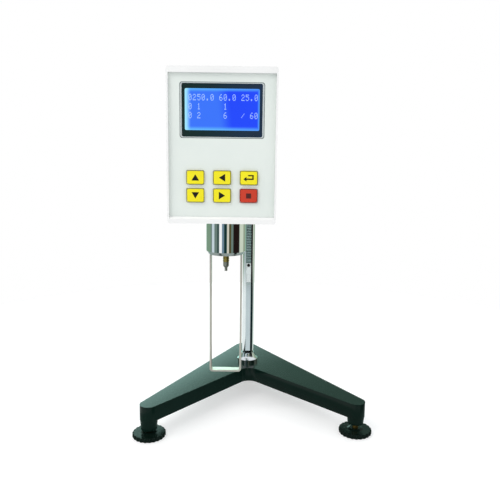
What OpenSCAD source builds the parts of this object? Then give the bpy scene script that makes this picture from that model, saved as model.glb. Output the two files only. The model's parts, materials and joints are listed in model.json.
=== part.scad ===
// Rotational viscometer: a display head on a rack-and-pinion post over a V-shaped levelling base.
// The bench is z = 0, the display faces -Y, and the middle of the footprint is x = 0, y = 0.
// Each module is drawn round the post's axis, and the last lines move it to that middle.

/* [Base] */
// Height of the casting's top face above the bench
base_top = 34.2; // [32:0.2:40]
// Height of the casting's side walls
base_h = 16; // [14:0.5:17]
// Thickness of the top plate over the hollow underside
base_plate = 8; // [7:0.5:8.5]
// Thickness of the casting's side walls
base_wall = 5; // [3:0.5:6]
// Turn of the stand under the head, seen from above
base_yaw = 3.4; // [0:0.2:5]
// Sideways distance of each front foot from the middle
foot_x = 106.4; // [98:1:120]
// Distance of the front feet ahead of the post
foot_y = 121.6; // [112:1:135]
// Distance of the rear foot behind the post
rear_y = 44; // [40:0.5:48]
// Radius of each leg's rounded end
leg_end_r = 9.1; // [8.6:0.1:10.5]
// Radius of the rounded back corner
apex_r = 14; // [12:0.5:16]
// Distance of the back corner's centre behind the post
apex_y = 50.6; // [46:0.2:54]
// Distance ahead of the post at which the legs' inner edges would meet
crotch_y = 21.4; // [19:0.5:26]
// Radius of the fillet between the legs
crotch_r = 12; // [6:0.5:16]
// Radius of a foot boss at its lower end
boss_tip_r = 8.1; // [6.5:0.1:8.6]
// How far the foot bosses hang below the casting's walls
boss_drop = 8.9; // [7.5:0.1:9]
// How much longer the left boss is faced than the right one
boss_trim = 3.2; // [0:0.2:3.4]

/* [Feet] */
// Radius of a foot's scalloped disc
foot_r = 16.85; // [14:0.1:19]
// Thickness of a foot's disc
foot_h = 4.5; // [3.5:0.1:4.6]
// Number of scallops round a disc
foot_notches = 22; // [16:1:26]
// Radius of one scallop
notch_r = 1.8; // [1:0.1:2]
// Radius of a foot's threaded stud
stud_r = 3; // [2.5:0.1:3.5]
// How far a foot screws up into its boss
foot_rise = 1.8; // [1:0.1:2]

/* [Post] */
// Radius of the post
post_r = 7; // [6.5:0.1:8]
// Height of the post's top above the bench
post_top = 372; // [368:1:400]
// Radius of the post's threaded lower end
spigot_r = 5; // [4:0.1:5.5]
// Radius of the bell-shaped flange at the post's foot
flange_r = 12.2; // [11.5:0.1:14]
// Height of the flange
flange_h = 11.4; // [10.4:0.2:13]
// Radius of the flange's hollow curve
flange_sweep = 9; // [8:0.1:12]
// Thickness of the nut under the casting
nut_h = 5; // [4:0.5:6]

/* [Rack and pinion] */
// Module of the rack and pinion teeth
lift_m = 1; // [0.9:0.05:1.1]
// Number of pinion teeth
pinion_z = 18; // [18:2:20]
// Width of the rack
rack_w = 5.5; // [5:0.1:6]
// Height at which the rack's teeth begin
rack_start = 157; // [150:1:175]
// Length of the plain tail below the teeth
rack_tail = 27; // [20:1:34]
// Radius of the screw that holds the rack's tail
rack_screw_r = 1.9; // [1.6:0.1:2.2]
// Height of the pinion and of the head's rod, with the head as it stands
lift_z = 255; // [250:1:262]
// Radius of the pinion's shaft
lift_shaft_r = 2.5; // [2:0.1:3]
// Radius of the lift knob
lift_knob_r = 13; // [10:0.5:14]
// Length of the lift knob
lift_knob_l = 14; // [10:0.5:14.5]
// Number of flutes round the lift knob
lift_flutes = 18; // [12:1:24]

/* [Clamp] */
// Height of the clamp block
clamp_h = 38; // [32:1:42]
// Metal left round the clamp's bores
clamp_wall = 7.4; // [6:0.2:8]
// Radius of the head's rod
rod_r = 6; // [5:0.1:7]
// Distance of the head's rod to the left of the post
rod_offset = 27.4; // [25:0.2:32]
// Radius of the rod's flange
rod_flange_r = 15; // [12:0.5:15]
// Thickness of the rod's flange
rod_flange_t = 5; // [4:0.5:6]
// Radius of the two locking screws
lock_r = 3; // [2.5:0.1:3.5]
// Radius of the post lock's knob
lock_knob_r = 9; // [7:0.5:10]

/* [Head case] */
// Width of the head
head_w = 108.5; // [106:0.5:120]
// Height of the head
head_h = 152; // [150:1:165]
// Height of the head's underside above the bench
head_z = 215.4; // [212:0.2:220]
// Depth of the head from its front rim to its rear cover
head_depth = 70.4; // [69:0.2:84]
// Thickness of the head's shell
head_wall = 2; // [1.6:0.1:2.2]
// Radius of the shell's long corners
head_corner = 2.5; // [2:0.1:4]
// Thickness of the rear cover
cover_t = 2.5; // [2:0.1:3.5]
// Width of the rim beside the front panel
panel_side = 2.1; // [2.1:0.1:3]
// Height of the rim above the front panel
panel_over = 6.4; // [5:0.1:8]
// Height of the front panel's lower edge above the head's underside
panel_up = 6.9; // [6:0.1:8]
// Thickness of the front panel
panel_t = 2; // [1.5:0.1:2.5]
// Depth of the front panel behind the front rim
panel_deep = 3; // [2.5:0.1:3.5]
// Rise of the sloping sill below the panel
sill_h = 2.4; // [1.5:0.1:3]

/* [Display] */
// Width of the display's bezel ring
window_w = 82.2; // [80:0.2:84]
// Height of the display's bezel ring
window_h = 52.8; // [52:0.2:54]
// Distance of the display's middle below the head's top
window_down = 41.2; // [40:0.2:44]
// Width of the bezel ring's material
window_rim = 1.7; // [1:0.1:1.8]
// Width of the picture area
screen_w = 73; // [70:0.5:74]
// Height of the picture area
screen_h = 39.8; // [38:0.2:41]
// Height of the picture area's middle above the display's middle
screen_up = 0.8; // [0:0.1:1]

/* [Keys] */
// Width of a key
key_w = 16.4; // [14:0.2:17]
// Height of a key
key_h = 12.6; // [11:0.2:13]
// How far the keys stand out of the panel
key_out = 1.8; // [1.5:0.1:2.2]
// Sideways pitch of the keys
key_pitch_x = 26.5; // [24:0.5:28]
// Upright pitch of the keys
key_pitch_z = 17.7; // [16.5:0.1:19]
// Height of the lower row of keys above the head's underside
key_up_z = 28.1; // [27:0.1:30]
// How far a key travels when it is pressed
key_travel = 1.2; // [0.8:0.1:1.3]

/* [Spindle] */
// Distance of the spindle to the right of the head's middle
spindle_dx = 3.4; // [0:0.2:5]
// Distance of the spindle behind the front rim
spindle_in = 32; // [32:0.2:34]
// Width of the collar outside the middle of a guard's leg
collar_rim = 4.7; // [4.5:0.1:6]
// Distance from the head's underside down to the collar's lower face
collar_l = 35.4; // [33:0.2:40]
// Thickness of the collar's wall
collar_wall = 2; // [1.5:0.1:2]
// Rise of the bevel round the collar's lower edge
bevel_h = 3.5; // [2:0.1:4]
// Width of the bevel round the collar's lower edge
bevel_w = 2.5; // [1.5:0.1:2.6]
// Radius of the measuring shaft
shaft_r = 2.5; // [2:0.1:2.6]
// Radius of the coupling at the shaft's lower end
coupling_r = 3.1; // [3:0.1:3.6]
// Radius of the threaded stud that takes a rotor
rotor_stud_r = 1.5; // [1.2:0.1:1.8]
// Length of the threaded stud that takes a rotor
rotor_stud_l = 4; // [3:0.2:6]

/* [Guard] */
// Distance between the middles of the guard's legs
guard_span = 32.6; // [32:0.2:33]
// Width of the guard's strip
guard_w = 9; // [8:0.2:9.6]
// Thickness of the guard's strip
guard_t = 2; // [1.5:0.1:2.2]
// Height of the guard's underside above the bench
guard_z = 48.8; // [47.5:0.2:60]
// Outer radius of the guard's two corners
guard_corner = 3.4; // [2.8:0.1:6]

/* [Drive] */
// Module of the drive gears
drive_m = 0.75; // [0.7:0.01:0.8]
// Number of teeth of the drive gear
drive_z = 36; // [36:2:38]
// Number of teeth of the motor's gear
motor_z = 18; // [18:2:20]
// Radius of the encoder discs
encoder_r = 15; // [13:0.5:15.5]
// Number of slots in each encoder disc
encoder_slots = 12; // [8:1:14]
// Turns of the hairspring
spring_turns = 3; // [2:0.5:4]
// Thickness of the hairspring's strip
spring_t = 0.45; // [0.3:0.05:0.6]
// Radius of the motor
motor_r = 14.5; // [12:0.5:14.5]
// Height of the motor
motor_h = 24; // [20:1:32]

/* [Hidden] */
$fn = 64;
run_gap = 0.05;   // radial clearance of shafts, rods and pins in their bores
fit_gap = 0.1;    // clearance of pieces that are set in an opening
seat_gap = 0.3;   // play between pieces that move apart or turn past each other
line_gap = 0.35;  // open line round the front panel, the bezel ring and the keys
eps = 0.01;

base_z0 = base_top - base_h;
function bossDrop(which) = boss_drop + (which == "left" ? 0.5 : which == "right" ? -0.5 : 0) * boss_trim;
boss_r = leg_end_r - 0.2;
stud_hole_top = base_top - 4;
stud_top = stud_hole_top - foot_rise - seat_gap;
stud_foot = 1.5;
legC = [foot_x, -foot_y];
apexC = [0, apex_y];
// Outward normal of a leg's back edge, and heading of its inner edge from the crotch
backAng = atan2(legC.y - apexC.y, legC.x) + acos((apex_r - leg_end_r) / norm(legC - apexC));
innerAng = atan2(legC.y + crotch_y, legC.x) - asin(leg_end_r / norm(legC - [0, -crotch_y]));

// Middle of the footprint, from the post's axis
function turned(p) = [p.x * cos(base_yaw) - p.y * sin(base_yaw), p.x * sin(base_yaw) + p.y * cos(base_yaw)];
footL = turned([-foot_x, -foot_y]);
footR = turned([foot_x, -foot_y]);
back_y = max(apex_y * cos(base_yaw) + apex_r, rear_y * cos(base_yaw) + foot_r);
middle = [(footL.x + footR.x) / 2, (min(footL.y, footR.y) - foot_r + back_y) / 2];

pocket_z = base_top - base_plate;
flange_in = post_r + run_gap;

rack_tip = sqrt(pow(post_r - run_gap, 2) - pow(rack_w / 2, 2));
rack_pitch = rack_tip - lift_m;
rack_root = rack_tip - 2.25 * lift_m;
rack_back = rack_root - 1.2;
tooth_step = PI * lift_m;
pinion_r = pinion_z * lift_m / 2;
pinion_y = -(rack_pitch + pinion_r + fit_gap);
pinion_w = rack_w - 0.5;
// A rack tooth stands level with the pinion, so that the two are in mesh
rack_first = lift_z - tooth_step * floor((lift_z - rack_start - tooth_step / 2) / tooth_step);
rack_teeth = floor((post_top - 3 - rack_first) / tooth_step);
rack_z0 = rack_start - rack_tail;
rack_step = rack_start - 14;
groove_z0 = base_top + flange_h / 3;
rack_screw_z = rack_start - rack_screw_r - 0.6;

clamp_front = -(-pinion_y + pinion_r + lift_m + 2.6);
clamp_back = post_r + 6;
clamp_right = post_r + clamp_wall;
clamp_left = -(rod_offset + rod_r + clamp_wall);
pinion_pocket = pinion_r + lift_m + 0.6;
pinion_cover_t = 2;
head_back = clamp_front - 1 - rod_flange_t;

headX = -rod_offset;
head_top = head_z + head_h;
panel_w = head_w - 2 * panel_side;
panel_h = head_h - panel_up - panel_over;
headF = head_back - head_depth;
panelY = headF + panel_deep;
panelZ = head_z + panel_up;
shell_back = head_back - cover_t;
windowZ = head_top - window_down;
screenZ = windowZ + screen_up;
lcd_w = window_w - 2 * window_rim - 4 * fit_gap;
lcd_h = window_h - 1.9 - 4 * fit_gap;
lcd_front = panelY + 0.4;
lcd_back = lcd_front + 7;
keyY = panelY - key_out;
key_board_y = panelY + panel_t + 5;
key_board_w = 2 * key_pitch_x + key_w + 22.6;
keys = [["key_up", -1, 1], ["key_left", 0, 1], ["key_return", 1, 1],
        ["key_down", -1, 0], ["key_right", 0, 0], ["key_stop", 1, 0]];

spX = headX + spindle_dx;
spY = headF + spindle_in;
floor_z = head_z + head_wall;
plate_t = 4;
deck_z = floor_z + plate_t;
collar_r = guard_span / 2 + collar_rim;
collar_z = head_z - collar_l;
collar_floor = 3;
housing_r = 9;
bearing_r = 6.5;
bearing_h = 5;
housing_top = deck_z + 9;
sleeve_top = collar_z - seat_gap;
sleeve_l = 8.7;
joint_l = 5.9;
joint_z = sleeve_top - sleeve_l - joint_l;
hub_z = housing_top + seat_gap;
collet_top = hub_z + 9;
collet_r = shaft_r + 1.5;
upper_disc_z = collet_top + 3;
pivot_r = shaft_r - 1;
drive_shaft_r = 3;
gear_z = upper_disc_z + 18;
gear_t = 5;
frame_z = gear_z + gear_t + 6;
frame_t = 3;
frame_side = encoder_r + 3;
gear_gap = (drive_z + motor_z) * drive_m / 2 + 0.05;
motorX = spX - gear_gap;
levelY = headF + 43;
jackX = headX - head_w / 2 + 20.25;
jackZ = head_top - 74;
switchZ = head_top - 44;
// Main board between the switch and the right wall, and the pillars that carry it
board_left = jackX + 11.4;
board_right = headX + head_w / 2 - head_wall - 6.85;
board_y = shell_back - 9;
boardZ = head_top - 42.4;
board_h = 66;
pillar_in = 4;

function polar(r, a) = [r * cos(a), r * sin(a)];

// Rounded rectangle about its middle, made of straight sides and true arcs
module rrect(w, h, r) {
    square([w - 2 * r, h], center = true);
    square([w, h - 2 * r], center = true);
    for (sx = [-1, 1], sy = [-1, 1]) translate([sx * (w / 2 - r), sy * (h / 2 - r)]) circle(r);
}

// Upright plate of thickness t behind y = 0, drawn in X and Z
module plateY(t) { translate([0, t, 0]) rotate([90, 0, 0]) linear_extrude(t) children(); }
module rodY(r, l) { rotate([-90, 0, 0]) cylinder(r = r, h = l); }
module rodX(r, l) { rotate([0, 90, 0]) cylinder(r = r, h = l); }

// Involute gear outline; thin takes a little off each flank for backlash
function involute(r, rb) = sqrt(max(pow(r / rb, 2) - 1, 0)) * 180 / PI - acos(min(rb / r, 1));
function gearFlank(z, m, thin, side, a) = let(
        rp = z * m / 2, rb = rp * cos(20), ra = rp + m, rf = rp - 1.25 * m, r0 = max(rb, rf),
        half = 90 / z + involute(rp, rb) - thin / rp * 180 / PI,
        up = [polar(rf, a - side * half), for (k = [0:3]) let(r = r0 + (ra - r0) * k / 3)
            polar(r, a - side * (half - involute(r, rb)))])
    side > 0 ? up : [for (k = [len(up) - 1:-1:0]) up[k]];
module gear2d(z, m, thin = 0.06) {
    polygon([for (i = [0:z - 1]) each concat(gearFlank(z, m, thin, 1, i * 360 / z),
        gearFlank(z, m, thin, -1, i * 360 / z))]);
}

// The V of the casting, or the same outline drawn in by inset
module baseOutline(inset = 0) {
    ang = innerAng + 90;
    top = apex_r - inset;
    end = leg_end_r - inset;
    fillet = crotch_r + inset;
    crotch = [0, -crotch_y + inset / sin(ang)];
    bite = crotch + [0, -fillet / sin(ang)];
    // The fillet ends just short of the tangent point, so that its arc crosses the edge cleanly
    touch = polar(0.95 * fillet / tan(ang), innerAng) + [0, 1];
    translate(apexC) circle(top);
    for (side = [0, 1]) mirror([side, 0]) {
        translate(legC) circle(end);
        polygon([crotch, apexC, apexC + polar(top, backAng), legC + polar(end, backAng),
            legC, legC + polar(end, innerAng - 90)]);
    }
    difference() {
        polygon([crotch + [0, 8], crotch + touch, bite, crotch + [-touch.x, touch.y]]);
        translate(bite) circle(fillet);
    }
}

function footPlace(which) = which == "left" ? [-foot_x, -foot_y] :
    which == "right" ? [foot_x, -foot_y] : [0, rear_y];
module atFoot(which) { rotate([0, 0, base_yaw]) translate(footPlace(which)) children(); }

module base_casting() {
    color([0.10, 0.20, 0.18]) difference() {
        union() {
            rotate([0, 0, base_yaw]) translate([0, 0, base_z0]) difference() {
                linear_extrude(base_h) baseOutline();
                translate([0, 0, -1]) linear_extrude(pocket_z - base_z0 + 1) baseOutline(base_wall);
            }
            // Bosses that stand in the hollow and hang below the walls
            for (f = ["left", "right", "rear"]) atFoot(f) translate([0, 0, base_z0]) rotate_extrude()
                polygon([[0, -bossDrop(f)], [boss_tip_r, -bossDrop(f)], [boss_r, 0],
                    [boss_r, base_h - 2], [0, base_h - 2]]);
        }
        for (f = ["left", "right", "rear"]) atFoot(f) translate([0, 0, base_z0 - bossDrop(f) - 1])
            cylinder(r = stud_r + run_gap, h = stud_hole_top - base_z0 + bossDrop(f) + 1);
        translate([0, 0, pocket_z - eps]) cylinder(r = spigot_r + run_gap, h = base_plate + 2 * eps);
    }
}

module post() {
    color([0.82, 0.84, 0.86]) difference() {
        union() {
            translate([0, 0, pocket_z - nut_h - 1]) cylinder(r = spigot_r, h = base_plate + nut_h + 1);
            translate([0, 0, base_top]) cylinder(r = post_r, h = post_top - base_top - 1);
            translate([0, 0, post_top - 1]) cylinder(r1 = post_r, r2 = post_r - 1, h = 1);
        }
        translate([-rack_w / 2 - run_gap, -post_r - 1, groove_z0])
            cube([rack_w + 2 * run_gap, post_r + 1 - rack_back, post_top - groove_z0 + 1]);
        translate([0, -rack_back - 1, rack_screw_z]) rodY(rack_screw_r - 0.6 + run_gap, 5);
    }
}

module post_rack() {
    half_root = tooth_step / 4 + 1.25 * lift_m * tan(20) - 0.06;
    half_tip = tooth_step / 4 - lift_m * tan(20) - 0.06;
    color([0.45, 0.50, 0.50]) difference() {
        translate([-rack_w / 2, 0, 0]) rotate([90, 0, 90]) linear_extrude(rack_w) polygon([
            [-rack_back, rack_z0], [-rack_tip + 0.6, rack_z0], [-rack_tip + 0.6, rack_step],
            [-rack_tip, rack_step], [-rack_tip, rack_start], [-rack_root, rack_start],
            for (i = [0:rack_teeth - 1]) let(z = rack_first + i * tooth_step) each [
                [-rack_root, z - half_root], [-rack_tip, z - half_tip],
                [-rack_tip, z + half_tip], [-rack_root, z + half_root]],
            [-rack_root, post_top - 1.5], [-rack_back, post_top - 1.5]]);
        translate([0, -rack_tip - 1, rack_screw_z]) rodY(rack_screw_r + run_gap, 1 + 1.6);
        translate([0, -rack_tip - 1, rack_screw_z]) rodY(rack_screw_r - 0.6 + run_gap, 9);
    }
}

module rack_screw() {
    color([0.12, 0.13, 0.13]) translate([0, -rack_tip, rack_screw_z]) difference() {
        union() {
            rodY(rack_screw_r, 1.6);
            rodY(rack_screw_r - 0.6, rack_tip - rack_back + 3.6);
        }
        translate([0, -eps, 0]) rotate([-90, 0, 0]) cylinder(r = rack_screw_r * 0.55, h = 1.1, $fn = 6);
    }
}

module post_flange() {
    color([0.86, 0.88, 0.90]) translate([0, 0, base_top]) rotate_extrude() difference() {
        translate([flange_in, 0]) square([flange_r - flange_in, flange_h]);
        translate([flange_in + 0.6 + flange_sweep, flange_h]) circle(flange_sweep, $fn = 96);
    }
}

module post_nut() {
    color([0.70, 0.72, 0.74]) translate([0, 0, pocket_z - nut_h]) difference() {
        cylinder(r = spigot_r * 1.9, h = nut_h, $fn = 6);
        translate([0, 0, -eps]) cylinder(r = spigot_r + run_gap, h = nut_h + 2 * eps);
    }
}

module footStud(which) {
    color([0.72, 0.58, 0.25]) atFoot(which) {
        translate([0, 0, stud_foot]) cylinder(r = stud_r, h = stud_top - stud_foot - 0.6);
        translate([0, 0, stud_top - 0.6]) cylinder(r1 = stud_r, r2 = stud_r - 0.6, h = 0.6);
    }
}
module foot_stud_left() { footStud("left"); }
module foot_stud_right() { footStud("right"); }
module foot_stud_rear() { footStud("rear"); }

module footDisc(which) {
    edge = 0.7;
    hub_r = leg_end_r - 1;
    color([0.08, 0.14, 0.13]) atFoot(which) difference() {
        rotate_extrude() polygon([[0, 0], [foot_r - edge, 0], [foot_r, edge], [foot_r, foot_h - edge],
            [foot_r - edge, foot_h], [hub_r, foot_h], [hub_r - 2.4, foot_h + 1], [0, foot_h + 1]]);
        for (i = [0:foot_notches - 1]) rotate([0, 0, (i + 0.5) * 360 / foot_notches])
            translate([foot_r + notch_r * 0.2, 0, -1]) cylinder(r = notch_r, h = foot_h + 2, $fn = 24);
        translate([0, 0, stud_foot - seat_gap]) cylinder(r = stud_r + run_gap, h = foot_h + 2);
    }
}
module foot_disc_left() { footDisc("left"); }
module foot_disc_right() { footDisc("right"); }
module foot_disc_rear() { footDisc("rear"); }

module clamp_block() {
    w = clamp_right - clamp_left;
    d = clamp_back - clamp_front;
    color([0.62, 0.65, 0.66]) difference() {
        translate([(clamp_right + clamp_left) / 2, (clamp_back + clamp_front) / 2, lift_z - clamp_h / 2])
            linear_extrude(clamp_h) rrect(w, d, 4);
        translate([0, 0, lift_z - clamp_h]) cylinder(r = post_r + run_gap, h = 2 * clamp_h);
        translate([headX, clamp_front - 1, lift_z]) rodY(rod_r + run_gap, d + 2);
        translate([-pinion_w / 2 - 0.6, clamp_front - 1, lift_z - pinion_pocket])
            cube([pinion_w + 1.2, -clamp_front + 1 - post_r / 2, 2 * pinion_pocket]);
        translate([-pinion_w / 2 - 7, pinion_y, lift_z]) rodX(lift_shaft_r + run_gap, clamp_right + 20);
        translate([0, 0, lift_z]) rodY(lock_r + run_gap, clamp_back + 1);
        translate([clamp_left - 1, rod_r - clamp_wall, lift_z]) rodX(lock_r + run_gap, clamp_wall + rod_r);
        for (sz = [-1, 1]) translate([0, clamp_front - 1, lift_z + sz * (pinion_pocket + 3)])
            rodY(1.3, 7);
    }
}

module pinion_cover() {
    color([0.30, 0.32, 0.33]) translate([0, clamp_front - pinion_cover_t, lift_z]) {
        plateY(pinion_cover_t) rrect(pinion_w + 10, 2 * pinion_pocket + 12, 2);
        for (sz = [-1, 1]) translate([0, pinion_cover_t, sz * (pinion_pocket + 3)]) rodY(1.25, 5);
        for (sz = [-1, 1]) translate([0, -1.2, sz * (pinion_pocket + 3)]) rodY(2.4, 1.2);
    }
}

module post_lock_screw() {
    color([0.10, 0.10, 0.11]) translate([0, 0, lift_z]) {
        translate([0, post_r + seat_gap, 0]) rodY(lock_r, clamp_back - post_r);
        translate([0, clamp_back + seat_gap, 0]) difference() {
            rodY(lock_knob_r, 11);
            for (i = [0:7]) rotate([0, i * 45, 0]) translate([lock_knob_r + 1.2, -1, 0]) rodY(2.4, 13);
        }
    }
}

module rod_lock_screw() {
    knob_r = lock_knob_r - 2;
    color([0.10, 0.10, 0.11]) translate([0, rod_r - clamp_wall, lift_z]) {
        translate([clamp_left - 1, 0, 0]) rodX(lock_r, clamp_wall + 1 - seat_gap);
        translate([clamp_left - seat_gap - 9, 0, 0]) difference() {
            rodX(knob_r, 9);
            for (i = [0:7]) rotate([i * 45, 0, 0]) translate([-1, knob_r + 1, 0]) rodX(2, 11);
        }
    }
}

module lift_pinion() {
    color([0.74, 0.60, 0.28]) translate([-pinion_w / 2, pinion_y, lift_z]) rotate([0, 90, 0])
        difference() {
            linear_extrude(pinion_w) rotate(90 + 180 / pinion_z) gear2d(pinion_z, lift_m);
            translate([0, 0, -1]) cylinder(r = lift_shaft_r + 0.02, h = pinion_w + 2);
        }
}

module lift_shaft() {
    color([0.75, 0.77, 0.78]) translate([-pinion_w / 2 - 6.5, pinion_y, lift_z])
        rodX(lift_shaft_r, pinion_w / 2 + 6.5 + clamp_right + lift_knob_l - 3);
}

module lift_knob() {
    color([0.09, 0.09, 0.10]) translate([clamp_right + 0.5, pinion_y, lift_z]) difference() {
        rotate([0, 90, 0]) rotate_extrude() polygon([[0, 0], [lift_knob_r - 2, 0], [lift_knob_r, 2],
            [lift_knob_r, lift_knob_l - 1.5], [lift_knob_r - 1.5, lift_knob_l], [0, lift_knob_l]]);
        for (i = [0:lift_flutes - 1]) rotate([i * 360 / lift_flutes, 0, 0])
            translate([2.5, lift_knob_r + 0.6, 0]) rodX(1.3, lift_knob_l, $fn = 24);
        translate([-1, 0, 0]) rodX(lift_shaft_r + 0.02, lift_knob_l - 3 - 0.5 + 1 + 0.3);
    }
}

module mount_rod() {
    color([0.78, 0.80, 0.82]) translate([headX, 0, lift_z]) {
        translate([0, head_back, 0]) rodY(rod_flange_r, rod_flange_t);
        translate([0, head_back, 0]) rodY(rod_r, clamp_back - head_back - 2);
        translate([0, head_back - cover_t - 6.4, 0]) rodY(rod_r - 1, cover_t + 7);
    }
}

// Screw places at the rear corners of the head, from its middle
cover_x = head_w / 2 - head_wall - 3.6;
cover_z = head_h / 2 - head_wall - 3.6;
module coverCorners() {
    for (sx = [-1, 1], sz = [-1, 1]) translate([headX + sx * cover_x, 0, head_z + head_h / 2 + sz * cover_z])
        children();
}

module head_shell() {
    mid = head_z + head_h / 2;
    depth = shell_back - headF;
    ledge = 2.5;
    color([0.93, 0.94, 0.94]) difference() {
        union() {
            difference() {
                translate([headX, headF, mid]) plateY(depth) rrect(head_w, head_h, head_corner);
                translate([headX, panelY + panel_t + 2, mid]) plateY(depth)
                    rrect(head_w - 2 * head_wall, head_h - 2 * head_wall, 1);
            }
            coverCorners() translate([0, shell_back - 14, 0]) rodY(3.4, 14);
            // Webs that tie the bosses to the side walls
            for (sx = [-1, 1], sz = [-1, 1])
                translate([headX + sx * (cover_x + 2) - 2.2, shell_back - 14, mid + sz * cover_z - 1.5])
                    cube([4.4, 14, 3]);
        }
        // Recess of the panel, with a ledge behind it
        translate([headX, headF - 1, panelZ + panel_h / 2]) plateY(1 + panel_deep + panel_t + run_gap)
            square([panel_w + 2 * line_gap, panel_h + 2 * line_gap], center = true);
        translate([headX, headF - 1, panelZ + panel_h / 2]) plateY(panel_deep + panel_t + 5)
            square([panel_w - 2 * ledge, panel_h - 2 * ledge], center = true);
        // Sloping sill
        translate([headX - panel_w / 2 - line_gap, headF, panelZ]) rotate([90, 0, 90])
            linear_extrude(panel_w + 2 * line_gap)
                polygon([[-1, -sill_h - sill_h / panel_deep], [panel_deep, 0], [-1, 1]]);
        translate([spX, spY, head_z - 1]) cylinder(r = collar_r + fit_gap, h = head_wall + 2);
        translate([headX, levelY, head_z + head_h - head_wall - 1]) cylinder(r = 8 + fit_gap, h = head_wall + 2);
        coverCorners() translate([0, shell_back - 12, 0]) rodY(1.5 + run_gap, 14);
    }
}

module rear_cover() {
    mid = head_z + head_h / 2;
    color([0.92, 0.93, 0.93]) {
        difference() {
            translate([headX, shell_back, mid]) plateY(cover_t) rrect(head_w, head_h, head_corner);
            translate([headX, shell_back - 1, lift_z]) rodY(rod_r - 1 + run_gap, cover_t + 2);
            translate([jackX, shell_back - 1, jackZ]) rodY(5.5 + fit_gap, cover_t + 2);
            translate([jackX, shell_back - 1, switchZ]) plateY(cover_t + 2) square([14, 20], center = true);
            coverCorners() translate([0, shell_back - 1, 0]) rodY(1.5 + run_gap, cover_t + 2);
        }
        for (x = [board_left + pillar_in, board_right - pillar_in], sz = [-1, 1])
            translate([x, board_y, boardZ + sz * (board_h / 2 - pillar_in)]) rodY(2.5, shell_back - board_y);
    }
}

// Nut on the rod's inner end, and the rear cover's four screws
module rear_fasteners() {
    color([0.70, 0.72, 0.74]) translate([headX, shell_back - 5, lift_z]) rotate([-90, 0, 0]) difference() {
        cylinder(r = (rod_r - 1) * 1.8, h = 5, $fn = 6);
        translate([0, 0, -1]) cylinder(r = rod_r - 1 + 0.02, h = 7);
    }
    color([0.70, 0.71, 0.72]) coverCorners() difference() {
        union() {
            translate([0, shell_back - 10, 0]) rodY(1.5, 10 + cover_t);
            translate([0, head_back, 0]) rodY(2.9, 1.6);
        }
        translate([-2.2, head_back + 0.8, -0.35]) cube([4.4, 2, 0.7]);
        translate([-0.35, head_back + 0.8, -2.2]) cube([0.7, 2, 4.4]);
    }
}

function keyX(col) = headX + 0.3 + col * key_pitch_x;
function keyZ(row) = head_z + key_up_z + row * key_pitch_z;

module front_panel() {
    color([0.89, 0.93, 0.90]) {
        difference() {
            translate([headX, panelY, panelZ + panel_h / 2]) plateY(panel_t)
                square([panel_w, panel_h], center = true);
            translate([headX, panelY - 1, windowZ]) plateY(panel_t + 2)
                rrect(window_w + 2 * line_gap, window_h + 2 * line_gap, 3);
            for (k = keys) translate([keyX(k[1]), panelY - 1, keyZ(k[2])]) plateY(panel_t + 2)
                rrect(key_w + 2 * line_gap, key_h + 2 * line_gap, 1.6);
        }
        // Welded studs for the display's board and the keys' board
        for (sx = [-1, 1], sz = [-1, 1])
            translate([headX + sx * (window_w / 2 + 3), panelY + 1, windowZ + sz * (window_h / 2 + 4.6)])
                rodY(2, lcd_back - panelY - 1);
        for (sx = [-1, 1], row = [-0.35, 1.35])
            translate([headX + sx * (key_board_w / 2 - 5), panelY + 1, keyZ(row)])
                rodY(2, key_board_y - panelY - 1);
    }
}

module window_bezel() {
    color([0.90, 0.92, 0.92]) translate([headX, panelY - 0.2, windowZ]) plateY(panel_t + 0.2) difference() {
        rrect(window_w, window_h, 3);
        rrect(window_w - 2 * window_rim, window_h - 1.9, 1.5);
    }
}

module lcd_frame() {
    color([0.05, 0.09, 0.09]) difference() {
        translate([headX, lcd_front, windowZ]) plateY(lcd_back - lcd_front) rrect(lcd_w, lcd_h, 1.2);
        translate([headX, lcd_front - 1, screenZ]) plateY(3) rrect(screen_w, screen_h, 1.5);
        translate([headX, lcd_front + 1, windowZ]) plateY(8) square([lcd_w - 2, lcd_h - 2], center = true);
    }
}

module lcd_glass() {
    color([0.20, 0.35, 0.95]) translate([headX, lcd_front + 1, windowZ]) plateY(1.6)
        square([lcd_w - 2.2, lcd_h - 2.2], center = true);
}

module lcd_board() {
    color([0.10, 0.35, 0.20]) translate([headX, lcd_back, windowZ]) plateY(1.6)
        square([window_w + 10.8, window_h + 15.2], center = true);
}

module keyCap(k) {
    flange = panelY + panel_t + seat_gap;
    color(k[0] == "key_stop" ? [0.84, 0.26, 0.16] : [0.98, 0.92, 0.08])
        translate([keyX(k[1]), 0, keyZ(k[2])]) {
            translate([0, keyY, 0]) plateY(flange + 0.5 - keyY) rrect(key_w, key_h, 1.5);
            translate([0, flange, 0]) plateY(1) rrect(key_w + 2, key_h + 2, 1.5);
            translate([0, flange, 0]) rodY(2, 1.6);
        }
}
module key_up() { keyCap(keys[0]); }
module key_left() { keyCap(keys[1]); }
module key_return() { keyCap(keys[2]); }
module key_down() { keyCap(keys[3]); }
module key_right() { keyCap(keys[4]); }
module key_stop() { keyCap(keys[5]); }

module key_board() {
    tip = panelY + panel_t + seat_gap + 1.6 + key_travel + 0.1;
    color([0.10, 0.35, 0.20]) {
        translate([headX, key_board_y, keyZ(0.5)]) plateY(1.6)
            square([key_board_w, 2.2 * key_pitch_z], center = true);
        for (k = keys) translate([keyX(k[1]), 0, keyZ(k[2])]) {
            translate([0, tip + 0.5, 0]) plateY(key_board_y - tip) square([6, 6], center = true);
            translate([0, tip, 0]) rodY(1.5, 1);
        }
    }
}

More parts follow.
